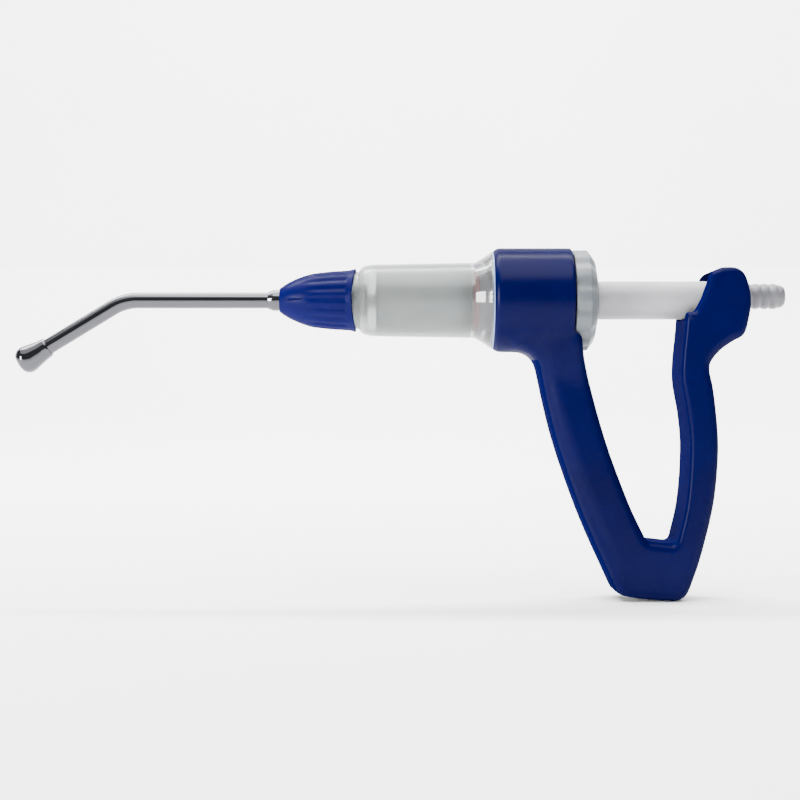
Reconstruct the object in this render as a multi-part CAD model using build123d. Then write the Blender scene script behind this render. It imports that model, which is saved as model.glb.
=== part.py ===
from build123d import *
import math
import os

# V-grip drencher, sizes in mm. While the pieces are drawn, x is measured along the barrel
# axis from the middle of the barrel housing (nozzle towards -x, hose towards +x) and z up
# from that axis. The files have their origin in the middle of the underside.

# ---- driving sizes -------------------------------------------------------------------
STROKE = 34.0
RUNNING_FIT = 0.10

HOUSING_X = (-16.0, 15.2)
HOUSING_R = 20.8
HOUSING_BORE_R = 16.45

BARREL_BORE_R = 12.8
BARREL_TAIL_R = 16.3
BARREL_TAIL_X = 23.2
CHAMBER_FRONT_X = -62.4
CHAMBER_WALL = 2.8
NECK_FRONT_X = -85.0
NECK_R = 9.8
NECK_CAVITY_R = 7.0
SHOULDER_X = -72.2
SHOULDER_R = 11.3

PISTON_X = (-27.8, -8.0)
PISTON_R = 12.6
PISTON_CAVITY_R = 6.0
TUBE_R = 7.6
TUBE_BORE_R = 4.2
TUBE_X = (-15.0, 72.0)

CAP_X = (-101.0, -70.4)
NOZZLE_R = 3.2
NOZZLE_BORE_R = 2.2
NOZZLE_REAR_X = -86.2
BEND_X = -163.2
BEND_RADIUS = 20.0
BEND_ANGLE = 31.3
SLOPE_LENGTH = 35.6
TIP_LENGTH = 13.4
TIP_R = 5.5

GRIP_WIDTH = 26.0
BASE_Z = -119.0
LEG_EDGE_R = 4.0
LEVER_EDGE_R = 2.0
HINGE = (60.3, -102.0)
KNUCKLE_R = 5.6
KNUCKLE_GAP = 0.3

PIN = (77.0, 0.0)
PIN_R = 2.4
PIN_TIP_Y = 10.7
FORK_HALF_GAP = 8.6

HOSE_TAIL_Z = 1.6
HOSE_TAIL_END_X = 100.4
HOSE_BORE_R = 2.6

VALVE_CONE_DEPTH = 2.0
VALVE_CONE_SLOPE = 0.9

# the trunnion pin as seen from the hinge, with the lever at rest
pin_height = PIN[1] - HINGE[1]
pin_behind = PIN[0] - HINGE[0]
lean_at_rest = math.atan2(pin_behind, pin_height)

slope = math.radians(BEND_ANGLE)


# ---- helpers -------------------------------------------------------------------------
def turned(outline):
    """A solid of revolution about the x axis from an (x, radius) outline."""
    face = make_face(Plane.XZ * Polyline(*outline, close=True))
    return revolve(face, Axis.X)


def ring(x_range, outer_r, inner_r):
    """A plain ring around the x axis."""
    front, rear = x_range
    return turned([(front, inner_r), (front, outer_r), (rear, outer_r), (rear, inner_r)])


def rod_x(x_range, radius, z=0.0):
    """A plain rod along x."""
    front, rear = x_range
    circle = Plane(origin=(front, 0, z), x_dir=(0, 1, 0), z_dir=(1, 0, 0)) * Circle(radius)
    return extrude(circle, rear - front)


def rod_y(centre, radius, half_length):
    """A plain rod along y through the point (x, z)."""
    circle = Plane.XZ * Pos(centre[0], centre[1]) * Circle(radius)
    return extrude(circle, half_length, both=True)


def slab(edges, half_width):
    """A plate of the closed outline drawn in the x-z plane, centred on y = 0."""
    near_side = Plane(origin=(0, -half_width, 0), x_dir=(1, 0, 0), z_dir=(0, -1, 0))
    face = make_face(near_side * (Curve() + edges))
    return extrude(face, 2 * half_width, dir=(0, 1, 0))


def rim_edges(plate, lowest, highest):
    """The edges along a plate's outline that reach below highest and stay above lowest."""
    def wanted(edge):
        start = edge @ 0
        end = edge @ 1
        along = abs(start.Y - end.Y) < 0.01
        upright = abs(start.X - end.X) < 0.01 and edge.length < 10
        return along and not upright and min(start.Z, end.Z) < highest and max(start.Z, end.Z) > lowest
    return plate.edges().filter_by(wanted)


def touches(edge, point):
    """Whether an edge starts or ends above or below the point (x, z)."""
    ends = [edge @ 0, edge @ 1]
    return any(math.hypot(end.X - point[0], end.Z - point[1]) < 0.01 for end in ends)


def o_ring(x, major_r, section_r):
    """A torus around the x axis."""
    return Plane(origin=(x, 0, 0), z_dir=(1, 0, 0)) * Torus(major_r, section_r)


def spring_x(x_range, coil_r, wire_r, turns):
    """A compression spring along x."""
    front, rear = x_range
    length = rear - front - 2 * wire_r
    path = Helix(length / turns, length, coil_r, center=(front + wire_r, 0, 0), direction=(1, 0, 0))
    section = Plane(origin=path @ 0, z_dir=path % 0) * Circle(wire_r)
    return sweep(section, path)


def around_x(shape, count):
    """Copies of a shape at equal steps about the x axis."""
    return [Rot(X=360 * k / count) * shape for k in range(count)]


# ---- nozzle --------------------------------------------------------------------------
def nozzle_path(start_x, slope_length):
    """The centre line of the nozzle from start_x round the bend and down the slope."""
    setback = BEND_RADIUS * math.tan(slope / 2)
    corner = (BEND_X, 0)
    before = (corner[0] + setback, 0)
    after = (corner[0] - setback * math.cos(slope), -setback * math.sin(slope))
    half = slope / 2
    middle = (before[0] - BEND_RADIUS * math.sin(half), -BEND_RADIUS * (1 - math.cos(half)))
    end = (corner[0] - slope_length * math.cos(slope), -slope_length * math.sin(slope))
    straight = Line((start_x, 0), before)
    bend = ThreePointArc(before, middle, after)
    down = Line(after, end)
    return Plane.XZ * (Curve() + [straight, bend, down])


def along_slope(shape, distance):
    """Turn a shape drawn along -x to the nozzle's slope, that far from the bend's corner."""
    x = BEND_X - distance * math.cos(slope)
    z = -distance * math.sin(slope)
    return Pos(x, 0, z) * Rot(Y=-BEND_ANGLE) * shape


def nozzle_tube():
    path = nozzle_path(NOZZLE_REAR_X, SLOPE_LENGTH + 6.0)
    section = Plane(origin=(NOZZLE_REAR_X, 0, 0), z_dir=(-1, 0, 0))
    outside = sweep(section * Circle(NOZZLE_R), path)
    inside = sweep(section * Circle(NOZZLE_BORE_R), path)
    return outside - inside


def nozzle_tip():
    socket_end = -6.0
    nose_start = -TIP_LENGTH + 4.6
    outline = [
        Line((0, NOZZLE_R), (0, 3.8)),
        Spline((0, 3.8), (-4.0, 4.4), (nose_start, TIP_R), tangents=[(-1, 0.05), (-1, 0)]),
        ThreePointArc((nose_start, TIP_R), (-TIP_LENGTH + 1.2, 4.2), (-TIP_LENGTH, NOZZLE_BORE_R)),
        Line((-TIP_LENGTH, NOZZLE_BORE_R), (socket_end, NOZZLE_BORE_R)),
        Line((socket_end, NOZZLE_BORE_R), (socket_end, NOZZLE_R)),
        Line((socket_end, NOZZLE_R), (0, NOZZLE_R)),
    ]
    bulb = revolve(make_face(Plane.XZ * (Curve() + outline)), Axis.X)
    return along_slope(bulb, SLOPE_LENGTH)


def nozzle_ferrule():
    return turned([
        (-105.6, NOZZLE_R), (-105.6, 3.4), (-103.6, 4.2), (-88.8, 4.2), (-88.8, 8.2),
        (NOZZLE_REAR_X, 8.2), (NOZZLE_REAR_X, NOZZLE_R),
    ])


# ---- nose cap ------------------------------------------------------------------------
def nose_cap():
    front, rear = CAP_X
    outline = [
        Line((front, 4.3), (front, 4.8)),
        Spline((front, 4.8), (-98.8, 6.4), (-94.7, 8.5), (-88.4, 10.6), (-81.0, 11.6)),
        Line((-81.0, 11.6), (-73.4, 12.0)),
        Line((-73.4, 12.0), (-72.2, 12.5)),
        Line((-72.2, 12.5), (rear, 12.5)),
        Line((rear, 12.5), (rear, SHOULDER_R + 0.2)),
        Line((rear, SHOULDER_R + 0.2), (SHOULDER_X - 0.2, SHOULDER_R + 0.2)),
        Line((SHOULDER_X - 0.2, SHOULDER_R + 0.2), (SHOULDER_X - 0.2, NECK_R + RUNNING_FIT)),
        Line((SHOULDER_X - 0.2, NECK_R + RUNNING_FIT), (NOZZLE_REAR_X, NECK_R + RUNNING_FIT)),
        Line((NOZZLE_REAR_X, NECK_R + RUNNING_FIT), (NOZZLE_REAR_X, 8.3)),
        Line((NOZZLE_REAR_X, 8.3), (-88.8, 8.3)),
        Line((-88.8, 8.3), (-88.8, 4.3)),
        Line((-88.8, 4.3), (front, 4.3)),
    ]
    body = revolve(make_face(Plane.XZ * (Curve() + outline)), Axis.X)
    flute = Pos(X=-81.6, Z=13.2) * Rot(Y=85.9) * Cylinder(2.4, 16.0)
    return body - around_x(flute, 12)


# ---- barrel and what it holds --------------------------------------------------------
def barrel():
    front_wall_x = CHAMBER_FRONT_X - CHAMBER_WALL
    return turned([
        (NECK_FRONT_X, NECK_CAVITY_R), (NECK_FRONT_X, 9.2), (-84.4, NECK_R),
        (SHOULDER_X, NECK_R), (SHOULDER_X, SHOULDER_R), (-69.4, 11.4), (-69.0, 12.4), (-67.4, 13.5),
        (-64.4, 14.3), (-23.6, 15.0), (-22.4, 15.6), (-18.0, 18.0), (-17.0, 19.2),
        (-16.6, 19.4), (-16.6, BARREL_TAIL_R), (BARREL_TAIL_X, BARREL_TAIL_R),
        (BARREL_TAIL_X, BARREL_BORE_R), (CHAMBER_FRONT_X, BARREL_BORE_R),
        (CHAMBER_FRONT_X, 2.8), (front_wall_x, 2.8), (front_wall_x, NECK_CAVITY_R),
    ])


def barrel_gasket():
    return ring((-16.6, HOUSING_X[0]), 19.2, BARREL_TAIL_R + 0.1)


def guide_bush():
    return turned([
        (12.0, TUBE_R + RUNNING_FIT), (12.0, 12.2), (12.5, BARREL_BORE_R - 0.05),
        (BARREL_TAIL_X, BARREL_BORE_R - 0.05), (BARREL_TAIL_X, TUBE_R + RUNNING_FIT),
    ])


def valve_seat(front_x, thickness, outer_r, hole_r):
    """A ring whose front side opens in a cone for a ball."""
    rear_x = front_x + thickness
    mouth_r = hole_r + VALVE_CONE_SLOPE * VALVE_CONE_DEPTH
    return turned([
        (front_x, mouth_r), (front_x, outer_r), (rear_x, outer_r),
        (rear_x, hole_r), (front_x + VALVE_CONE_DEPTH, hole_r),
    ])


def seated_ball_x(front_x, hole_r, ball_r):
    """Where the centre of a ball lies when it rests in the cone of valve_seat."""
    seating_gap = 0.03
    cone_end_x = front_x + VALVE_CONE_DEPTH
    touching_r = ball_r * math.hypot(1, VALVE_CONE_SLOPE)
    return cone_end_x + (hole_r - touching_r) / VALVE_CONE_SLOPE - seating_gap


OUTLET_SEAT_X = CHAMBER_FRONT_X - CHAMBER_WALL - 3.4
OUTLET_HOLE_R = 2.8
OUTLET_BALL_R = 4.2
OUTLET_BALL_X = seated_ball_x(OUTLET_SEAT_X, OUTLET_HOLE_R, OUTLET_BALL_R)


def outlet_valve_seat():
    return valve_seat(OUTLET_SEAT_X, 3.4, NECK_CAVITY_R - 0.05, OUTLET_HOLE_R)


def outlet_valve_ball():
    return Pos(X=OUTLET_BALL_X) * Sphere(OUTLET_BALL_R)


def outlet_valve_spring():
    rear_x = OUTLET_BALL_X - 3.15
    return spring_x((NOZZLE_REAR_X + 0.1, rear_x), 3.0, 0.35, 6)


def nozzle_seal():
    return ring((NOZZLE_REAR_X, NECK_FRONT_X), 9.4, 4.4)


# ---- handle frame --------------------------------------------------------------------
def leg_outline():
    """Front leg and base, from inside the housing down to the underside."""
    front_top = (-12.0, -20.2)
    throat = (1.9, -31.0)
    shin = (30.4, -112.2)
    toe = (37.4, -117.6)
    heel = (53.0, BASE_Z)
    underside = (1, -1.4 / 15.6)
    heel_top = (61.2, -113.6)
    seat_rear = (65.4, -103.6)
    heel_slope = (0.42, 1)
    crotch_rear = (50.6, -96.4)
    crotch = (47.0, -96.0)
    crotch_line = (-1, 0.4 / 3.6)
    crotch_top = (43.2, -93.6)
    rear_top = (18.4, -12.0)
    return [
        Line(rear_top, (front_top[0], rear_top[1])),
        Line((front_top[0], rear_top[1]), front_top),
        Spline(front_top, (-5.0, -20.9), (0.2, -25.2), throat, tangents=[(1, 0), (0.16, -1)]),
        Spline(throat, (8.4, -58.5), (18.8, -87.0), shin, tangents=[(0.16, -1), (0.44, -1)]),
        Spline(shin, (33.2, -116.0), toe, tangents=[(0.44, -1), underside]),
        Line(toe, heel),
        Spline(heel, heel_top, tangents=[underside, heel_slope]),
        Line(heel_top, seat_rear),
        Line(seat_rear, HINGE),
        Line(HINGE, crotch_rear),
        Line(crotch_rear, crotch),
        Spline(crotch, crotch_top, tangents=[crotch_line, (-0.42, 1)]),
        Spline(crotch_top, (36.6, -79.4), (27.4, -54.7), (20.4, -27.7), rear_top,
               tangents=[(-0.42, 1), (-0.08, 1)]),
    ]


def knuckle_clearance():
    """The space the lever's knuckle and its lower end sweep in the base."""
    socket = rod_y(HINGE, KNUCKLE_R + KNUCKLE_GAP, GRIP_WIDTH)
    sweep_r = 8.4
    reach = 1.2 * sweep_r
    corners = [HINGE]
    for angle in (60, 110, 160, 206):
        turn = math.radians(angle)
        corners.append((HINGE[0] + reach * math.cos(turn), HINGE[1] + reach * math.sin(turn)))
    wedge = extrude(make_face(Plane.XZ * Polyline(*corners, close=True)), GRIP_WIDTH, both=True)
    return socket + (wedge & rod_y(HINGE, sweep_r, GRIP_WIDTH))


def handle_frame():
    front, rear = HOUSING_X
    housing = turned([
        (front, 0), (front, HOUSING_R - 1.6), (front + 2.0, HOUSING_R),
        (rear - 0.4, HOUSING_R), (rear, HOUSING_R - 0.4), (rear, 0),
    ])
    leg = slab(leg_outline(), GRIP_WIDTH / 2)
    hinge_edges = leg.edges().filter_by(lambda edge: touches(edge, HINGE))
    leg = fillet(rim_edges(leg, BASE_Z - 1, -12.1) - hinge_edges, LEG_EDGE_R)
    leg = leg - knuckle_clearance()
    bore = rod_x((front - 1, rear + 1), HOUSING_BORE_R)
    ring_space = rod_x((rear, rear + 20), HOUSING_R - 0.6)
    return housing + leg - bore - ring_space


# ---- rear lever ----------------------------------------------------------------------
def lever_outline():
    left = HINGE[0] - KNUCKLE_R
    right = HINGE[0] + KNUCKLE_R
    inner_foot = (left, -98.0)
    ledge = (60.4, -5.6)
    cheek = (64.6, -5.2)
    top_front = (73.6, 12.4)
    top_rear = (79.6, 12.2)
    top = (1, -0.2 / 6)
    spur = (82.2, -14.6)
    waist = (68.8, -28.0)
    return [
        Line((right, HINGE[1]), (left, HINGE[1])),
        Line((left, HINGE[1]), inner_foot),
        Spline(inner_foot, (58.2, -80.8), (59.7, -60.7), (58.6, -44.2), (56.4, -29.0),
               (57.8, -16.0), ledge, tangents=[(0, 1), (0.25, 1)]),
        Line(ledge, cheek),
        Spline(cheek, (69.0, 4.2), (70.2, 8.8), top_front, tangents=[(0.6, 1), top]),
        Line(top_front, top_rear),
        Spline(top_rear, (83.2, 8.6), (85.0, 0.0), (83.6, -10.0), spur,
               tangents=[top, (-0.3, -1)]),
        Spline(spur, (77.2, -17.4), (71.6, -21.6), waist, tangents=[(-1, -0.3), (0, -1)]),
        Spline(waist, (70.8, -37.4), (72.3, -56.0), (71.0, -79.0), (right, HINGE[1]),
               tangents=[(0, -1), (-0.25, -1)]),
    ]


def fork_channel():
    """The channel between the fork's cheeks that the plunger's end runs through."""
    outline = [
        (50.0, -10.6), (58.0, -10.8), (88.0, -12.9), (88.0, 10.2), (76.0, 10.4),
        (69.0, 11.6), (50.0, 14.0),
    ]
    face = make_face(Plane.XZ * Polyline(*outline, close=True))
    return extrude(face, FORK_HALF_GAP, both=True)


def trunnion_slots():
    """Blind slots in both cheeks, pointing at the hinge so the pins can ride up and down."""
    side_gap = 0.35
    end_gap = 0.35
    rest_reach = math.hypot(pin_behind, pin_height)
    end_reach = math.hypot(STROKE - pin_behind, pin_height)
    inner = pin_height - end_gap
    outer = max(rest_reach, end_reach) + end_gap
    length = outer - inner + 2 * (PIN_R + side_gap)
    middle = (inner + outer) / 2
    x = HINGE[0] + middle * math.sin(lean_at_rest)
    z = HINGE[1] + middle * math.cos(lean_at_rest)
    slot = SlotOverall(length, 2 * (PIN_R + side_gap), rotation=90 - math.degrees(lean_at_rest))
    return extrude(Plane.XZ * Pos(x, z) * slot, PIN_TIP_Y + 0.4, both=True)


def rear_lever():
    body = slab(lever_outline(), GRIP_WIDTH / 2)
    body = fillet(rim_edges(body, HINGE[1] + 0.1, 20.0), LEVER_EDGE_R)
    knuckle = rod_y(HINGE, KNUCKLE_R, GRIP_WIDTH / 2)
    return body + knuckle - fork_channel() - trunnion_slots()


# ---- adjuster ring -------------------------------------------------------------------
def adjuster_ring():
    body = turned([
        (15.6, BARREL_TAIL_R + RUNNING_FIT), (15.6, 19.3), (16.0, 19.7), (21.8, 19.7),
        (22.6, 19.2), (24.6, 15.5), (25.5, 9.5), (25.5, TUBE_R + 0.4), (23.6, TUBE_R + 0.4),
        (23.6, BARREL_TAIL_R + RUNNING_FIT),
    ])
    scallop = Pos(X=20.0, Z=24.4) * Rot(Y=90) * Cylinder(5.7, 20.0)
    return body - around_x(Rot(X=15) * scallop, 12)


# ---- plunger -------------------------------------------------------------------------
INLET_SEAT_X = TUBE_X[0] - 2.6
INLET_HOLE_R = 2.4
INLET_BALL_R = 3.4
INLET_BALL_X = seated_ball_x(INLET_SEAT_X, INLET_HOLE_R, INLET_BALL_R)
CAGE_X = (PISTON_X[0], PISTON_X[0] + 1.4)


def piston():
    front, rear = PISTON_X
    tube_front = TUBE_X[0]
    return turned([
        (front, PISTON_CAVITY_R), (front, PISTON_R), (-24.3, PISTON_R), (-24.3, 9.6),
        (-20.9, 9.6), (-20.9, PISTON_R), (rear, PISTON_R), (rear, TUBE_R),
        (tube_front, TUBE_R), (tube_front, PISTON_CAVITY_R),
    ])


def piston_seal():
    section_r = 1.5
    return o_ring(-22.6, BARREL_BORE_R - 0.05 - section_r, section_r)


def plunger_tube():
    front, rear = TUBE_X
    return ring((front, rear), TUBE_R, TUBE_BORE_R)


def inlet_valve_seat():
    return valve_seat(INLET_SEAT_X, 2.6, PISTON_CAVITY_R - 0.05, INLET_HOLE_R)


def inlet_valve_ball():
    return Pos(X=INLET_BALL_X) * Sphere(INLET_BALL_R)


def inlet_valve_spring():
    return spring_x((CAGE_X[1] + 0.1, INLET_BALL_X - 2.75), 2.2, 0.3, 3)


def inlet_valve_cage():
    disc = ring(CAGE_X, PISTON_CAVITY_R - 0.05, 1.4)
    port = Pos(X=CAGE_X[0], Z=3.6) * Rot(Y=90) * Cylinder(1.1, 6.0)
    return disc - around_x(port, 4)


def plunger_trunnion():
    tube_end = TUBE_X[1]
    block = rod_x((tube_end, 80.0), TUBE_R) + rod_x((80.0, 84.4), 7.0)
    spigot = rod_x((66.0, tube_end), TUBE_BORE_R - 0.05)
    pins = rod_y(PIN, PIN_R, PIN_TIP_Y)
    bore = rod_x((65.0, 80.0), 2.4)
    socket = rod_x((78.0, 90.0), 4.2, HOSE_TAIL_Z)
    return block + spigot + pins - bore - socket


def hose_tail():
    crests = [89.1, 92.5, 95.9]
    pitch = 3.4
    valley_r = 4.65
    crest_r = 5.1
    outline = [
        Line((78.2, HOSE_BORE_R), (78.2, 4.15)),
        Line((78.2, 4.15), (81.2, 4.15)),
        Line((81.2, 4.15), (81.2, 3.2)),
        Line((81.2, 3.2), (82.6, 3.2)),
        Line((82.6, 3.2), (82.6, 4.15)),
        Line((82.6, 4.15), (84.4, 4.15)),
        Line((84.4, 4.15), (84.4, 5.2)),
        Line((84.4, 5.2), (86.0, 5.2)),
        Line((86.0, 5.2), (crests[0] - pitch / 2, valley_r)),
    ]
    for crest in crests:
        start = (crest - pitch / 2, valley_r)
        end = (crest + pitch / 2, valley_r)
        outline.append(ThreePointArc(start, (crest, crest_r), end))
    last_valley = (crests[-1] + pitch / 2, valley_r)
    end_x = HOSE_TAIL_END_X
    outline += [
        ThreePointArc(last_valley, (end_x - 0.7, 4.2), (end_x, 3.3)),
        Line((end_x, 3.3), (end_x, HOSE_BORE_R)),
        Line((end_x, HOSE_BORE_R), (78.2, HOSE_BORE_R)),
    ]
    tail = revolve(make_face(Plane.XZ * (Curve() + outline)), Axis.X)
    return Pos(Z=HOSE_TAIL_Z) * tail


def hose_tail_seal():
    return Pos(Z=HOSE_TAIL_Z) * o_ring(81.9, 3.7, 0.47)


# ---- files ---------------------------------------------------------------------------
PIECES = {
    "nozzle_tube": nozzle_tube,
    "nozzle_tip": nozzle_tip,
    "nozzle_ferrule": nozzle_ferrule,
    "nozzle_seal": nozzle_seal,
    "nose_cap": nose_cap,
    "barrel": barrel,
    "barrel_gasket": barrel_gasket,
    "guide_bush": guide_bush,
    "outlet_valve_seat": outlet_valve_seat,
    "outlet_valve_ball": outlet_valve_ball,
    "outlet_valve_spring": outlet_valve_spring,
    "handle_frame": handle_frame,
    "rear_lever": rear_lever,
    "adjuster_ring": adjuster_ring,
    "piston": piston,
    "piston_seal": piston_seal,
    "plunger_tube": plunger_tube,
    "inlet_valve_seat": inlet_valve_seat,
    "inlet_valve_ball": inlet_valve_ball,
    "inlet_valve_spring": inlet_valve_spring,
    "inlet_valve_cage": inlet_valve_cage,
    "plunger_trunnion": plunger_trunnion,
    "hose_tail": hose_tail,
    "hose_tail_seal": hose_tail_seal,
}

# the origin lies midway between the nozzle's tip and the hose tail's end, on the underside
left_end_x = nozzle_tip().bounding_box().min.X
origin_x = (left_end_x + HOSE_TAIL_END_X) / 2
to_origin = Pos(-origin_x, 0, -BASE_Z)

os.makedirs("parts", exist_ok=True)
for name, make in PIECES.items():
    export_step(to_origin * make(), f"parts/{name}.step")
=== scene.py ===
import math

import bmesh
import bpy
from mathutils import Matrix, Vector
from mathutils.geometry import delaunay_2d_cdt


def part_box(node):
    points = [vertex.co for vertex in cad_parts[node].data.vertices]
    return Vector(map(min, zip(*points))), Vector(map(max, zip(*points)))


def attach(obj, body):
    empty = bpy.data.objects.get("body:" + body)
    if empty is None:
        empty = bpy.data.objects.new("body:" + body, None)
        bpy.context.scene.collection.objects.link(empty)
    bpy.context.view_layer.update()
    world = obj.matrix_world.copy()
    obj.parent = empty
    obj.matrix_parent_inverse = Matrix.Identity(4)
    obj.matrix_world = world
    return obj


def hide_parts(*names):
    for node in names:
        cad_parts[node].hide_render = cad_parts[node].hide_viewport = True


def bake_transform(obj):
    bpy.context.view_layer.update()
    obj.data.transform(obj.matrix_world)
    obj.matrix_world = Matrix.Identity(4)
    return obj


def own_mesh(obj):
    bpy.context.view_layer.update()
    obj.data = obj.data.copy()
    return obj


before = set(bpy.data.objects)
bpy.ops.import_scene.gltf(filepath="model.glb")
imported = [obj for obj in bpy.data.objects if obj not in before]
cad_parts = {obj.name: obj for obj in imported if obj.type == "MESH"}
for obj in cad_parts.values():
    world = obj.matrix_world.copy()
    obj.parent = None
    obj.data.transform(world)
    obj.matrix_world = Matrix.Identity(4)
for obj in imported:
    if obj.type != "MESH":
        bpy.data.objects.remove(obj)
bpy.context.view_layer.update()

# ---- places taken from the frame -----------------------------------------------------
# The helpers take millimetres along the barrel axis from the middle of the barrel housing,
# and radii or heights from that axis, as the CAD does.
MM = 0.001
HOSE_TAIL_END = 100.4
origin_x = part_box("hose_tail")[1][0] - HOSE_TAIL_END * MM
tube_low, tube_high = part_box("plunger_tube")
axis_z = (tube_low[2] + tube_high[2]) / 2
PIN = (77.0, 0.0)
HINGE = (60.3, -102.0)
GRIP_HALF_WIDTH = 13.0


def point(x, y, z):
    """A point in the part's frame, in metres."""
    return Vector((origin_x + x * MM, y * MM, axis_z + z * MM))


# ---- outlines ------------------------------------------------------------------------
def eased(value, start, end):
    """Runs smoothly from 0 at start to 1 at end."""
    t = min(max((value - start) / (end - start), 0.0), 1.0)
    return t * t * (3 - 2 * t)


def smooth_curve(knots, steps=8):
    """Points of a Catmull-Rom curve through the knots, which are (u, v) pairs."""
    knots = [Vector(k) for k in knots]
    ends = [2 * knots[0] - knots[1]] + knots + [2 * knots[-1] - knots[-2]]
    points = []
    for a, b, c, d in zip(ends, ends[1:], ends[2:], ends[3:]):
        for k in range(steps):
            t = k / steps
            points.append(0.5 * (2 * b + (c - a) * t + (2 * a - 5 * b + 4 * c - d) * t * t
                                 + (3 * b - a - 3 * c + d) * t ** 3))
    points.append(knots[-1])
    return [tuple(p) for p in points]


def rounded(corners, closed=True, steps=5):
    """A path whose corners, given as (u, v, radius), are rounded by arcs."""
    count = len(corners)
    points = []
    for k, (u, v, radius) in enumerate(corners):
        here = Vector((u, v))
        if radius == 0 or (not closed and k in (0, count - 1)):
            points.append((u, v))
            continue
        before = (Vector(corners[k - 1][:2]) - here).normalized()
        after = (Vector(corners[(k + 1) % count][:2]) - here).normalized()
        half = before.angle(after) / 2
        setback = radius / math.tan(half)
        centre = here + (before + after).normalized() * radius / math.sin(half)
        start = here + before * setback - centre
        end = here + after * setback - centre
        turn = start.angle_signed(end)
        for step in range(steps + 1):
            angle = -turn * step / steps
            spin = Vector((start.x * math.cos(angle) - start.y * math.sin(angle),
                           start.x * math.sin(angle) + start.y * math.cos(angle)))
            points.append(tuple(centre + spin))
    return points


# ---- mesh makers ---------------------------------------------------------------------
def skin_rings(data, rings):
    """Joins each ring of vertices to the next one with four-sided faces."""
    for ring, following in zip(rings, rings[1:]):
        for k in range(len(ring)):
            n = (k + 1) % len(ring)
            data.faces.new((ring[k], ring[n], following[n], following[k]))


def new_object(name, mesh_data, sharp_angle=35):
    mesh = bpy.data.meshes.new(name)
    mesh_data.to_mesh(mesh)
    mesh_data.free()
    obj = bpy.data.objects.new(name, mesh)
    bpy.context.collection.objects.link(obj)
    shade(obj, sharp_angle)
    return obj


def shade(obj, sharp_angle=35):
    obj.data.shade_smooth()
    obj.data.set_sharp_from_angle(angle=math.radians(sharp_angle))


def lathe(name, outline, segments=160, radial=None, centre_z=0.0, sharp_angle=35):
    """Turns a closed (x, r) outline about the barrel axis. radial(x, r, angle) may change
    a point into another (x, r), for flutes and lobes."""
    data = bmesh.new()
    rings = []
    for x, r in outline:
        ring = []
        for k in range(segments):
            angle = 2 * math.pi * k / segments
            px, pr = radial(x, r, angle) if radial else (x, r)
            place = point(px, pr * math.sin(angle), centre_z + pr * math.cos(angle))
            ring.append(data.verts.new(place))
        rings.append(ring)
    skin_rings(data, rings + rings[:1])
    bmesh.ops.recalc_face_normals(data, faces=data.faces)
    return new_object(name, data, sharp_angle)


def solid_lathe(name, outline, segments=160):
    """A closed solid of revolution from an open (x, r) outline, with flat ends."""
    data = bmesh.new()
    rings = []
    for x, r in outline:
        angles = [2 * math.pi * k / segments for k in range(segments)]
        rings.append([data.verts.new(point(x, r * math.sin(a), r * math.cos(a))) for a in angles])
    skin_rings(data, rings)
    data.faces.new(rings[0])
    data.faces.new(list(reversed(rings[-1])))
    bmesh.ops.recalc_face_normals(data, faces=data.faces)
    return new_object(name, data)


def plate(name, outline, half_width, edge_radius, steps=6):
    """A plate in the x-z plane with rounded edges. half_width(x, z) and edge_radius(x, z)
    give each point's half thickness and rounding."""
    data = bmesh.new()
    count = len(outline)
    area = sum(outline[k - 1][0] * outline[k][1] - outline[k][0] * outline[k - 1][1]
               for k in range(count))
    side = 1 if area > 0 else -1
    inward = []
    for k in range(count):
        along = Vector(outline[(k + 1) % count]) - Vector(outline[k - 1])
        inward.append(Vector((-along.y, along.x)).normalized() * side)
    levels = [(-1, step) for step in range(steps, -1, -1)]
    levels += [(1, step) for step in range(steps + 1)]
    rings = []
    for sign, step in levels:
        angle = math.pi / 2 * step / steps
        ring = []
        for (x, z), normal in zip(outline, inward):
            radius = edge_radius(x, z)
            inset = radius * (1 - math.cos(angle))
            y = sign * (half_width(x, z) - radius * (1 - math.sin(angle)))
            ring.append(data.verts.new(point(x + normal.x * inset, y, z + normal.y * inset)))
        rings.append(ring)
    skin_rings(data, rings)
    fill_side(data, rings[0])
    fill_side(data, rings[-1])
    bmesh.ops.recalc_face_normals(data, faces=data.faces)
    return new_object(name, data)


def fill_side(data, ring):
    """Closes a plate's flat side with triangles; the outline may be concave."""
    flat = [Vector((vertex.co.x, vertex.co.z)) for vertex in ring]
    places, _, faces, sources, _, _ = delaunay_2d_cdt(flat, [], [list(range(len(flat)))], 1, 1e-7)
    corners = []
    for place, source in zip(places, sources):
        if source:
            corners.append(ring[source[0]])
        else:
            corners.append(data.verts.new((place.x, ring[0].co.y, place.y)))
    for face in faces:
        data.faces.new([corners[index] for index in face])


def swept_tube(name, path, outer_r, inner_r, segments=64):
    """A hollow tube along a path of (x, z) points in the middle plane."""
    data = bmesh.new()
    shells = []
    for radius in (outer_r, inner_r):
        rings = []
        for k, (x, z) in enumerate(path):
            ahead = Vector(path[min(k + 1, len(path) - 1)])
            behind = Vector(path[max(k - 1, 0)])
            along = (ahead - behind).normalized()
            up = Vector((-along.y, along.x))
            ring = []
            for step in range(segments):
                angle = 2 * math.pi * step / segments
                out = up * (radius * math.cos(angle))
                ring.append(data.verts.new(point(x + out.x, radius * math.sin(angle), z + out.y)))
            rings.append(ring)
        shells.append(rings)
    outside, inside = shells
    skin_rings(data, outside)
    skin_rings(data, inside)
    skin_rings(data, [outside[0], inside[0]])
    skin_rings(data, [outside[-1], inside[-1]])
    bmesh.ops.recalc_face_normals(data, faces=data.faces)
    return new_object(name, data)


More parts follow.
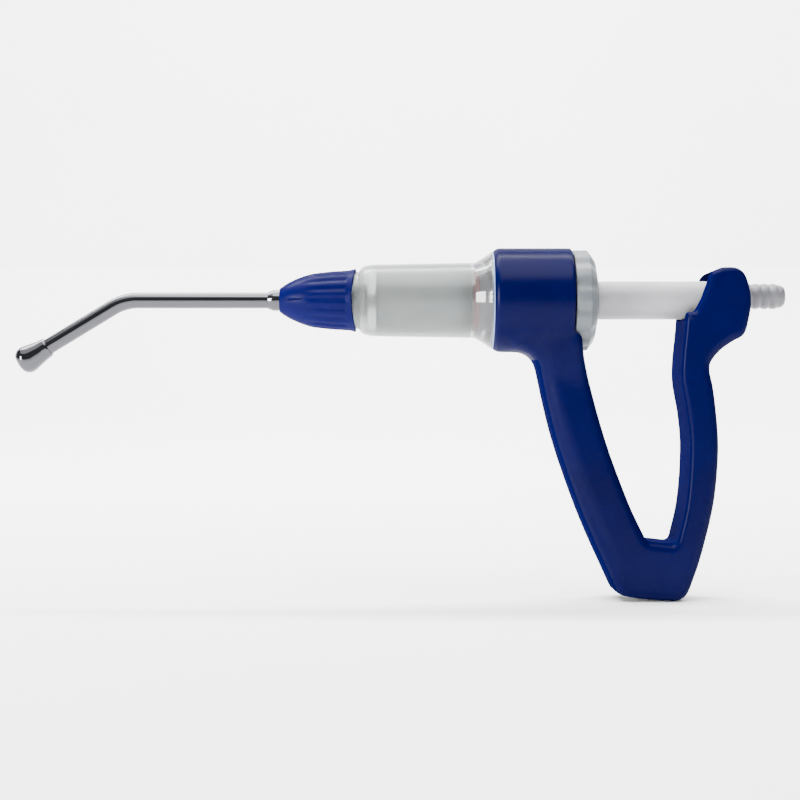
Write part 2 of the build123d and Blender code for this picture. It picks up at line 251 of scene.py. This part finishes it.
def apply_modifiers(obj):
    """Replaces the object's mesh with the result of its modifiers."""
    evaluated = obj.evaluated_get(bpy.context.evaluated_depsgraph_get())
    mesh = bpy.data.meshes.new_from_object(evaluated)
    obj.modifiers.clear()
    obj.data = mesh


def join(obj, other):
    """Adds the other object's shell to the object's mesh."""
    data = bmesh.new()
    data.from_mesh(obj.data)
    data.from_mesh(other.data)
    data.to_mesh(obj.data)
    data.free()
    bpy.data.objects.remove(other)


def cut_away(obj, tool):
    """Takes a tool's space out of the object."""
    modifier = obj.modifiers.new("boolean", "BOOLEAN")
    modifier.operation = "DIFFERENCE"
    modifier.solver = "MANIFOLD"
    modifier.object = tool
    apply_modifiers(obj)
    bpy.data.objects.remove(tool)


def melt(obj, voxel, smoothing):
    """Turns a joined mesh into one even skin and softens its corners."""
    remesh = obj.modifiers.new("skin", "REMESH")
    remesh.mode = "VOXEL"
    remesh.voxel_size = voxel * MM
    remesh.use_smooth_shade = True
    soften = obj.modifiers.new("soften", "SMOOTH")
    soften.factor = 0.5
    soften.iterations = smoothing
    apply_modifiers(obj)
    obj.data.shade_smooth()


def soften_near(obj, x, z, reach, iterations):
    """Smooths the mesh around the line through (x, z), fading out over the reach."""
    group = obj.vertex_groups.new(name="soften")
    middle = point(x, 0, z)
    for vertex in obj.data.vertices:
        away = math.hypot(vertex.co.x - middle.x, vertex.co.z - middle.z) / MM
        weight = 1 - eased(away, 0.5 * reach, reach)
        if weight > 0:
            group.add([vertex.index], weight, "REPLACE")
    soften = obj.modifiers.new("soften", "SMOOTH")
    soften.vertex_group = group.name
    soften.iterations = iterations
    apply_modifiers(obj)
    obj.vertex_groups.clear()


# ---- materials -----------------------------------------------------------------------
def material(name, **settings):
    """A Principled material with these values on its sockets, and its node tree."""
    mat = bpy.data.materials.new(name)
    mat.use_nodes = True
    shader = mat.node_tree.nodes["Principled BSDF"]
    for socket, value in settings.items():
        shader.inputs[socket.replace("_", " ")].default_value = value
    return mat


def noise(mat, scale, detail=4.0, stretch=(1, 1, 1)):
    """Noise in object space, as the node's factor socket."""
    nodes = mat.node_tree.nodes
    links = mat.node_tree.links
    place = nodes.new("ShaderNodeTexCoord")
    mapping = nodes.new("ShaderNodeMapping")
    mapping.inputs["Scale"].default_value = stretch
    texture = nodes.new("ShaderNodeTexNoise")
    texture.inputs["Scale"].default_value = scale
    texture.inputs["Detail"].default_value = detail
    links.new(place.outputs["Object"], mapping.inputs["Vector"])
    links.new(mapping.outputs["Vector"], texture.inputs["Vector"])
    return texture.outputs["Fac"]


def varied(mat, socket, source, low, high):
    """Drives a shader value between low and high by a factor socket."""
    links = mat.node_tree.links
    spread = mat.node_tree.nodes.new("ShaderNodeMapRange")
    spread.inputs["From Min"].default_value = 0.3
    spread.inputs["From Max"].default_value = 0.7
    spread.inputs["To Min"].default_value = low
    spread.inputs["To Max"].default_value = high
    links.new(source, spread.inputs["Value"])
    links.new(spread.outputs["Result"], mat.node_tree.nodes["Principled BSDF"].inputs[socket])


def coloured(mat, source, low, high):
    """Blends the base colour between two colours by a factor socket."""
    links = mat.node_tree.links
    ramp = mat.node_tree.nodes.new("ShaderNodeValToRGB")
    ramp.color_ramp.elements[0].position = 0.3
    ramp.color_ramp.elements[0].color = (*low, 1)
    ramp.color_ramp.elements[1].position = 0.7
    ramp.color_ramp.elements[1].color = (*high, 1)
    links.new(source, ramp.inputs["Fac"])
    links.new(ramp.outputs["Color"], mat.node_tree.nodes["Principled BSDF"].inputs["Base Color"])


def bumped(mat, source, strength, distance):
    links = mat.node_tree.links
    bump = mat.node_tree.nodes.new("ShaderNodeBump")
    bump.inputs["Strength"].default_value = strength
    bump.inputs["Distance"].default_value = distance
    links.new(source, bump.inputs["Height"])
    links.new(bump.outputs["Normal"], mat.node_tree.nodes["Principled BSDF"].inputs["Normal"])


def blue_nylon(name, dark, light, roughness, gloss):
    mat = material(name, Specular_IOR_Level=0.0, Coat_Weight=gloss, Coat_Roughness=0.28)
    coloured(mat, noise(mat, 30, 5), dark, light)
    varied(mat, "Roughness", noise(mat, 90, 6), roughness - 0.05, roughness + 0.06)
    bumped(mat, noise(mat, 1400, 3), 0.12, 0.00008)
    return mat


def white_nylon(name, dark, light, roughness):
    mat = material(name, Subsurface_Weight=0.25, Subsurface_Scale=0.003,
                   Subsurface_Radius=(1.0, 0.9, 0.8))
    coloured(mat, noise(mat, 55, 5), dark, light)
    varied(mat, "Roughness", noise(mat, 120, 5), roughness - 0.05, roughness + 0.08)
    bumped(mat, noise(mat, 1100, 4), 0.15, 0.00008)
    return mat


def metal(name, colour, roughness, spread):
    mat = material(name, Base_Color=(*colour, 1), Metallic=1.0)
    varied(mat, "Roughness", noise(mat, 140, 4, (0.2, 1, 1)), roughness, roughness + spread)
    bumped(mat, noise(mat, 500, 3, (0.1, 1, 1)), 0.02, 0.00005)
    return mat


def rubber(name, colour, roughness):
    mat = material(name)
    coloured(mat, noise(mat, 200, 4), colour, [1.25 * part for part in colour])
    varied(mat, "Roughness", noise(mat, 300, 4), roughness, roughness + 0.12)
    bumped(mat, noise(mat, 1800, 3), 0.2, 0.00006)
    return mat


def cast_plastic(name, dark, light, smoothest, roughest, transmission):
    """Moulded translucent plastic, frosted or nearly clear by its roughness."""
    mat = material(name, IOR=1.46, Transmission_Weight=transmission,
                   Subsurface_Weight=0.1, Subsurface_Scale=0.004,
                   Subsurface_Radius=(1.0, 1.0, 1.0))
    coloured(mat, noise(mat, 28, 4), dark, light)
    varied(mat, "Roughness", noise(mat, 80, 5), smoothest, roughest)
    bumped(mat, noise(mat, 900, 4), 0.10, 0.00006)
    return mat


grip_blue = blue_nylon("grip_blue_nylon", (0.0, 0.0001, 0.024), (0.0, 0.0003, 0.033), 0.40, 0.11)
matt_blue = blue_nylon("grip_matt_nylon", (0.0, 0.0001, 0.029), (0.0, 0.0004, 0.039), 0.6, 0.01)
cap_blue = blue_nylon("cap_blue_nylon", (0.0018, 0.0016, 0.036), (0.0025, 0.0028, 0.050), 0.38, 0.09)
white = white_nylon("plunger_white_nylon", (0.26, 0.26, 0.275), (0.32, 0.32, 0.335), 0.42)
ring_white = white_nylon("ring_white_nylon", (0.07, 0.082, 0.093), (0.10, 0.112, 0.124), 0.45)
tail_white = white_nylon("tail_white_nylon", (0.085, 0.085, 0.095), (0.125, 0.125, 0.138), 0.38)
frosted = cast_plastic("frosted_barrel", (0.25, 0.275, 0.28), (0.31, 0.325, 0.315), 0.27, 0.36, 0.8)
clear = cast_plastic("clear_flange", (0.44, 0.45, 0.46), (0.52, 0.52, 0.53), 0.12, 0.18, 0.92)
# the nozzle chrome's colour is far darker than real chrome: painted shade standing in for dark
# surroundings seen in its reflections
chrome = metal("nozzle_chrome", (0.08, 0.08, 0.088), 0.03, 0.04)
steel = metal("valve_steel", (0.60, 0.60, 0.62), 0.18, 0.12)
pale_gasket = rubber("gasket_pale_silicone", (0.14, 0.20, 0.36), 0.4)
red_rubber = rubber("piston_red_rubber", (0.50, 0.13, 0.12), 0.45)
black_rubber = rubber("seal_black_rubber", (0.022, 0.022, 0.024), 0.5)


def finish_piece(obj, mat, body, slot, *nodes):
    obj.data.materials.clear()
    obj.data.materials.append(mat)
    if body:
        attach(obj, body)
    if nodes:
        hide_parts(*nodes)


# ---- nozzle --------------------------------------------------------------------------
NOZZLE_R = 3.2
NOZZLE_BORE_R = 2.2
NOZZLE_REAR_X = -86.2
BEND_X = -163.2
BEND_RADIUS = 20.0
BEND_ANGLE = math.radians(31.3)
SLOPE_LENGTH = 35.6
TUBE_IN_TIP = 5.5


def nozzle_tube():
    setback = BEND_RADIUS * math.tan(BEND_ANGLE / 2)
    path = [(NOZZLE_REAR_X, 0.0), (-110.0, 0.0), (-135.0, 0.0)]
    bend_steps = 24
    for k in range(bend_steps + 1):
        turn = BEND_ANGLE * k / bend_steps
        path.append((BEND_X + setback - BEND_RADIUS * math.sin(turn),
                     -BEND_RADIUS * (1 - math.cos(turn))))
    reach = SLOPE_LENGTH + TUBE_IN_TIP
    path.append((BEND_X - reach * math.cos(BEND_ANGLE), -reach * math.sin(BEND_ANGLE)))
    tube = swept_tube("nozzle_tube_skin", path, NOZZLE_R, NOZZLE_BORE_R)
    finish_piece(tube, chrome, "handle", "chrome", "nozzle_tube")


def nozzle_tip():
    belly = smooth_curve([(-0.4, 3.95), (-3.0, 4.25), (-6.2, 4.9), (-9.0, 5.45), (-11.0, 5.35),
                          (-12.6, 4.4), (-13.2, 3.4)])
    outline = [(0.0, NOZZLE_R), (0.0, 3.75)] + belly
    outline += [(-13.4, 2.9), (-13.3, 2.5), (-12.9, NOZZLE_BORE_R), (-6.0, NOZZLE_BORE_R),
                (-6.0, NOZZLE_R)]
    bulb = lathe("nozzle_tip_skin", outline, 96)
    pivot = point(0, 0, 0)
    joint = point(BEND_X - SLOPE_LENGTH * math.cos(BEND_ANGLE), 0,
                  -SLOPE_LENGTH * math.sin(BEND_ANGLE))
    for vertex in bulb.data.vertices:
        at = vertex.co - pivot
        x = at.x * math.cos(BEND_ANGLE) - at.z * math.sin(BEND_ANGLE)
        z = at.x * math.sin(BEND_ANGLE) + at.z * math.cos(BEND_ANGLE)
        vertex.co = joint + Vector((x, at.y, z))
    finish_piece(bulb, chrome, "handle", "chrome", "nozzle_tip")


def nozzle_ferrule():
    outline = rounded([
        (-105.6, NOZZLE_R, 0), (-105.6, 3.45, 0.1), (-103.6, 4.2, 0.6), (-88.8, 4.2, 0),
        (-88.8, 8.2, 0.2), (NOZZLE_REAR_X, 8.2, 0.2), (NOZZLE_REAR_X, NOZZLE_R, 0),
    ])
    ferrule = lathe("nozzle_ferrule_skin", outline, 96)
    finish_piece(ferrule, chrome, "handle", "chrome", "nozzle_ferrule")


# ---- nose cap ------------------------------------------------------------------------
def nose_cap():
    flutes = 18
    flute_depth = 0.5
    darts = 4
    dart_depth = 0.5
    dart_half_width = 0.75
    saddle_depth = 1.5

    def fluted(x, r, angle):
        # the recess for the ferrule stays round
        if r < 9.5 and x > -90:
            return x, r
        wave = (0.5 - 0.5 * math.cos(flutes * angle)) ** 1.4
        depth = flute_depth * eased(x, -93.0, -84.0) * (1 - eased(x, -75.0, -73.0)) * wave
        # short tapering darts near the nose
        offset = (angle / (2 * math.pi) * darts) % 1 - 0.5
        from_dart = (0.5 - abs(offset)) * 2 * math.pi / darts * r
        half_dart = dart_half_width * (1 - eased(x, -97.0, -91.4))
        if -97.4 < x and from_dart < half_dart:
            depth += dart_depth * (1 - from_dart / half_dart)
        # the rim reaches further back at the top and the bottom
        saddle = saddle_depth * math.sin(angle) ** 2 * eased(x, -75.0, -70.6)
        return x - saddle, r - depth

    nose = smooth_curve([(-101.0, 4.75), (-99.6, 5.75), (-97.2, 7.25), (-93.6, 8.9),
                         (-88.4, 10.6), (-82.0, 11.45)], 10)
    side = smooth_curve([(-82.0, 11.45), (-78.0, 11.75), (-74.4, 11.95), (-73.0, 12.1)], 6)
    rim = rounded([(-72.6, 12.15, 0), (-70.9, 12.65, 0.3), (-70.5, 12.4, 0.2), (-70.5, 11.5, 0.1),
                   (-72.2, 11.5, 0)], False)
    inside = [(-72.4, 9.9), (NOZZLE_REAR_X, 9.9), (NOZZLE_REAR_X, 8.3), (-88.8, 8.3),
              (-88.8, 4.3), (-100.8, 4.3)]
    cap = lathe("nose_cap_skin", nose + side[1:] + rim + inside, 288, fluted, sharp_angle=50)
    finish_piece(cap, cap_blue, "handle", "cap_blue", "nose_cap")


# ---- barrel --------------------------------------------------------------------------
BARREL_BORE_R = 12.8
BARREL_TAIL_R = 16.3
CLEAR_FROM_X = -24.8


def barrel():
    """A frosted chamber with a clear flange and tail behind it."""
    outline = rounded([
        (-85.0, 7.0, 0), (-85.0, 9.7, 0.5), (-72.1, 9.8, 0.1), (-72.1, 11.2, 0.3),
        (-69.4, 11.4, 0.3), (-68.9, 12.4, 0.8), (-67.2, 13.7, 1.2), (-64.2, 14.3, 3.0),
        (CLEAR_FROM_X, 14.98, 0), (-23.4, 15.0, 1.0), (-19.6, 17.2, 1.5), (-16.6, 19.3, 0.3),
        (-16.6, BARREL_TAIL_R, 0), (21.8, BARREL_TAIL_R, 0.3), (23.2, 15.0, 0.2),
        (23.2, BARREL_BORE_R, 0.2), (CLEAR_FROM_X, BARREL_BORE_R, 0),
        (-62.4, BARREL_BORE_R, 1.2), (-62.4, 2.8, 0.3),
        (-65.2, 2.8, 0.3), (-65.2, 7.0, 0.3),
    ])
    shell = lathe("barrel_skin", outline, 192)
    finish_piece(shell, frosted, "handle", "frosted_plastic", "barrel")
    shell.data.materials.append(clear)
    flange_x = point(CLEAR_FROM_X, 0, 0).x
    for face in shell.data.polygons:
        if face.center.x > flange_x:
            face.material_index = 1


# ---- grip ----------------------------------------------------------------------------
def grip():
    """The whole blue moulding: housing, front leg, base, rear lever and its hood."""
    front_leg = smooth_curve([(-9.0, -20.0), (-4.6, -20.9), (-1.2, -22.6), (1.0, -26.2), (2.2, -32.0),
                              (8.2, -56.5), (18.6, -86.0), (30.4, -112.0), (33.6, -116.4),
                              (39.0, -117.8)])
    base = smooth_curve([(39.0, -117.8), (53.0, -118.9), (57.0, -118.6), (60.0, -116.4),
                         (62.4, -110.6), (66.4, -97.6), (70.6, -79.0), (72.2, -58.0),
                         (70.6, -38.0), (68.7, -28.4)])
    hood_back = smooth_curve([(68.7, -28.4), (69.2, -25.0), (72.6, -20.6), (77.6, -16.9),
                              (81.8, -14.4), (83.6, -10.2), (85.0, -1.0), (83.2, 8.4),
                              (79.6, 12.1), (73.6, 12.5)])
    hood_front = smooth_curve([(73.6, 12.5), (69.6, 10.4), (67.8, 6.4), (65.6, 0.2), (62.9, -5.0)])
    ledge = [(59.8, -5.4)]
    lever_front = smooth_curve([(59.5, -5.9), (58.8, -14.0), (57.8, -24.0), (57.8, -33.0),
                                (60.0, -46.0), (61.0, -60.0), (59.6, -80.0), (56.2, -95.6)])
    crotch = [(54.4, -96.5), (44.4, -95.3)]
    leg_back = smooth_curve([(43.4, -94.2), (36.6, -79.6), (27.6, -55.0), (20.4, -28.4),
                             (18.2, -14.0)])
    top = [(18.2, 4.0), (-9.0, 4.0)]
    outline = (front_leg + base[1:] + hood_back[1:] + hood_front[1:] + ledge + lever_front
               + crotch + leg_back + top)

    def edge_radius(x, z):
        # the leg's top lies inside the housing
        if z > -10 and x < 30:
            return 1.0
        toe = eased(z, -104.0, -115.0)
        if x < 36 and x < 0.42 * -z - 8.0 or x < 8 and z > -40:
            return 7.5 - 3.5 * toe
        if x > 60 and z > -16:
            return 2.4
        if 50 < x < 64 and z > -96:
            return 1.6
        return 3.0 + toe

    def half_width(x, z):
        flare = 2.4 * eased(z, -36.0, -13.0) * (1 - eased(x, 24.0, 40.0))
        return GRIP_HALF_WIDTH + flare

    skin_voxel = 0.5
    body = plate("grip_skin", outline, half_width, edge_radius)
    housing = lathe("housing_shell", rounded([
        (-16.0, 14.0, 0), (-16.0, 19.6, 0.6), (-14.2, 20.8, 1.4), (15.2, 20.8, 0.6), (15.2, 14.0, 0),
    ]), 160)
    join(body, housing)
    melt(body, skin_voxel, 10)
    soften_near(body, 0.0, -21.0, 18.0, 140)
    bore = solid_lathe("bore_tool", [(-20, 16.5), (15.2, 16.5), (15.2, 20.3), (40, 20.3)])
    cut_away(body, bore)
    channel = plate("channel_tool", [(50.0, -8.0), (60.0, -8.0), (88.0, -12.9), (88.0, 10.2),
                                     (76.0, 10.4), (69.0, 11.4), (50.0, 14.0)],
                    lambda x, z: 8.6, lambda x, z: 0.8)
    cut_away(body, channel)
    # the slots for the plunger's pins lie along the line from the hinge
    reach = math.hypot(PIN[0] - HINGE[0], PIN[1] - HINGE[1])
    along = Vector((PIN[0] - HINGE[0], PIN[1] - HINGE[1])) / reach
    across = Vector((along.y, -along.x))
    slot_half = 2.8
    slot = []
    for distance, side in ((3.4, slot_half), (3.4, -slot_half), (-5.0, -slot_half),
                           (-5.0, slot_half)):
        corner = Vector(PIN) + along * distance + across * side
        slot.append((corner.x, corner.y, 2.7))
    slots = plate("slot_tool", rounded(slot), lambda x, z: 11.1, lambda x, z: 0.1)
    cut_away(body, slots)
    shade(body, 40)
    finish_piece(body, grip_blue, None, "grip_blue", "handle_frame", "rear_lever")
    body.data.materials.append(matt_blue)
    below_housing = point(0, 0, -24).z
    lever_front_x = point(50, 0, 0).x
    for face in body.data.polygons:
        on_lever = face.center.x > lever_front_x
        if abs(face.normal.y) < 0.5 and (face.center.z < below_housing or on_lever):
            face.material_index = 1
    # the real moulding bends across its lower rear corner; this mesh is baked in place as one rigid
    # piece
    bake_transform(body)


# ---- adjuster ring -------------------------------------------------------------------
def adjuster_ring():
    lobes = 12
    lobe_depth = 0.9

    def lobed(x, r, angle):
        # every radius from 14 up is scalloped, so the ring's wide bore is as well, and
        # there it dips into the barrel's tail
        if r < 14:
            return x, r
        wave = (0.5 - 0.5 * math.cos(lobes * angle)) ** 2.0
        return x, r - lobe_depth * wave

    outline = rounded([
        (15.6, 16.4, 0), (15.6, 20.0, 0.5), (21.6, 20.0, 0.8), (24.0, 16.6, 2.0), (25.5, 9.6, 1.5),
        (25.5, 8.0, 0.2), (23.6, 8.0, 0.2), (23.6, 15.0, 0.4), (22.0, 16.4, 0.2),
    ])
    ring = lathe("adjuster_ring_skin", outline, 240, lobed, sharp_angle=50)
    finish_piece(ring, ring_white, "adjuster", "white_nylon", "adjuster_ring")


# ---- plunger -------------------------------------------------------------------------
def plunger_tube():
    outline = rounded([
        (-15.0, 4.2, 0), (-15.0, 7.6, 0.2), (72.0, 7.6, 0.5), (72.0, 4.2, 0.2),
    ])
    tube = lathe("plunger_tube_skin", outline, 128)
    finish_piece(tube, white, "plunger", "white_nylon", "plunger_tube")


def piston_seal():
    """A broad red lip seal that fills the piston's groove and lies on the bore."""
    outline = rounded([
        (-24.2, 9.7, 0.3), (-24.2, 12.74, 0.5), (-22.9, 12.74, 0.2), (-22.6, 12.3, 0.2),
        (-22.3, 12.74, 0.2), (-21.0, 12.74, 0.5), (-21.0, 9.7, 0.3),
    ])
    seal = lathe("piston_seal_skin", outline, 128)
    finish_piece(seal, red_rubber, "plunger", "red_rubber", "piston_seal")


def hose_tail():
    ribs = []
    for crest in (89.1, 92.5, 95.9):
        ribs += [(crest - 1.7, 4.62), (crest - 0.7, 5.0), (crest + 0.2, 5.1), (crest + 1.0, 4.95)]
    end = [(97.6, 4.62), (98.8, 4.5), (99.8, 4.0), (100.3, 3.4), (100.4, 3.0)]
    outline = [(78.2, 2.6), (78.2, 4.15), (81.2, 4.15), (81.2, 3.2), (82.6, 3.2), (82.6, 4.15),
               (84.4, 4.15), (84.4, 5.2), (86.0, 5.2)]
    outline += smooth_curve(ribs + end, 5) + [(100.1, 2.6)]
    tail = lathe("hose_tail_skin", outline, 96, centre_z=1.6, sharp_angle=50)
    finish_piece(tail, tail_white, "plunger", "white_nylon", "hose_tail")


# ---- valve springs -------------------------------------------------------------------
def valve_spring(node, body, coil_r, wire_r, turns):
    """A wire coil in the CAD spring's place. The real spring shortens as its ball lifts; this coil
    keeps its length.
    """
    low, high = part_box(node)
    front = low[0] + wire_r * MM
    length = high[0] - low[0] - 2 * wire_r * MM
    per_turn = 32
    sides = 12
    data = bmesh.new()
    rings = []
    for step in range(turns * per_turn + 1):
        angle = 2 * math.pi * step / per_turn
        out = Vector((0, math.sin(angle), math.cos(angle)))
        x = front + length * step / (turns * per_turn)
        centre = Vector((x, 0, axis_z)) + out * coil_r * MM
        ring = []
        for side in range(sides):
            turn = 2 * math.pi * side / sides
            offset = out * math.cos(turn) + Vector((math.sin(turn), 0, 0))
            ring.append(data.verts.new(centre + offset * wire_r * MM))
        rings.append(ring)
    skin_rings(data, rings)
    data.faces.new(rings[0])
    data.faces.new(list(reversed(rings[-1])))
    bmesh.ops.recalc_face_normals(data, faces=data.faces)
    spring = new_object(node + "_skin", data)
    finish_piece(spring, steel, body, "steel", node)
    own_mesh(spring)


nozzle_tube()
nozzle_tip()
nozzle_ferrule()
nose_cap()
barrel()
grip()
adjuster_ring()
plunger_tube()
piston_seal()
hose_tail()
valve_spring("outlet_valve_spring", "handle", 3.0, 0.35, 6)
valve_spring("inlet_valve_spring", "plunger", 2.2, 0.3, 3)

# ---- CAD nodes that are shown as they are --------------------------------------------
CARRIED = {
    "nozzle_seal": black_rubber,
    "barrel_gasket": pale_gasket,
    "guide_bush": white,
    "outlet_valve_seat": white,
    "outlet_valve_ball": steel,
    "piston": white,
    "inlet_valve_seat": white,
    "inlet_valve_ball": steel,
    "inlet_valve_cage": white,
    "plunger_trunnion": white,
    "hose_tail_seal": black_rubber,
}
for node, mat in CARRIED.items():
    for material_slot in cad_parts[node].material_slots:
        material_slot.material = mat


# ---- floor, light and camera ---------------------------------------------------------
FLOOR_DROP = 0.0002
FLOOR_HALF_WIDTH = 12.0


def studio():
    """A pale floor that curves up into a backdrop."""
    data = bmesh.new()
    profile = [(-12.0, 0.0), (1.2, 0.0), (1.6, 0.06), (1.9, 0.3), (2.0, 0.8), (2.0, 3.5)]
    rows = []
    for y, z in profile:
        sides = (-FLOOR_HALF_WIDTH, FLOOR_HALF_WIDTH)
        rows.append([data.verts.new((x, y, z - FLOOR_DROP)) for x in sides])
    for row, following in zip(rows, rows[1:]):
        data.faces.new((row[0], row[1], following[1], following[0]))
    floor = new_object("studio_floor", data)
    mat = material("studio_pale", Roughness=0.9, Specular_IOR_Level=0.1)
    coloured(mat, noise(mat, 3, 2), (0.90, 0.90, 0.90), (0.93, 0.93, 0.93))
    floor.data.materials.append(mat)


def area_light(name, place, target, size, power):
    light = bpy.data.lights.new(name, "AREA")
    light.shape = "RECTANGLE"
    light.size, light.size_y = size
    light.energy = power
    obj = bpy.data.objects.new(name, light)
    obj.location = place
    obj.rotation_euler = (Vector(target) - Vector(place)).to_track_quat("-Z", "Y").to_euler()
    bpy.context.collection.objects.link(obj)


def lights():
    target = (0, 0, 0.09)
    area_light("top", (-0.15, -0.10, 1.0), target, (1.5, 0.7), 26)
    area_light("key_left", (-1.0, -0.75, 0.2), target, (0.2, 0.6), 30)
    area_light("backdrop_glow", (0, 0.6, 1.8), (0, 1.9, 0.4), (3.0, 0.5), 230)
    sky = bpy.data.lights.new("sky", "SUN")
    sky.energy = 2.6
    sky.angle = math.radians(70)
    sky_object = bpy.data.objects.new("sky", sky)
    sky_object.rotation_euler = (math.radians(12), math.radians(-8), 0)
    bpy.context.collection.objects.link(sky_object)
    world = bpy.data.worlds.new("studio")
    world.use_nodes = True
    background = world.node_tree.nodes["Background"]
    background.inputs["Color"].default_value = (0.95, 0.97, 1, 1)
    background.inputs["Strength"].default_value = 0.35
    bpy.context.scene.world = world


def camera():
    """Square to the part's side, a little below the barrel axis."""
    distance = 0.600
    seen_width = 0.320
    below_axis = 0.0398
    sensor_width = 36.0
    data = bpy.data.cameras.new("camera")
    data.sensor_width = sensor_width
    data.lens = sensor_width * distance / seen_width
    data.clip_end = 20
    obj = bpy.data.objects.new("camera", data)
    obj.location = (0.0, -distance, axis_z - below_axis)
    obj.rotation_euler = (math.radians(90), 0, 0)
    bpy.context.collection.objects.link(obj)
    bpy.context.scene.camera = obj


studio()
lights()
camera()
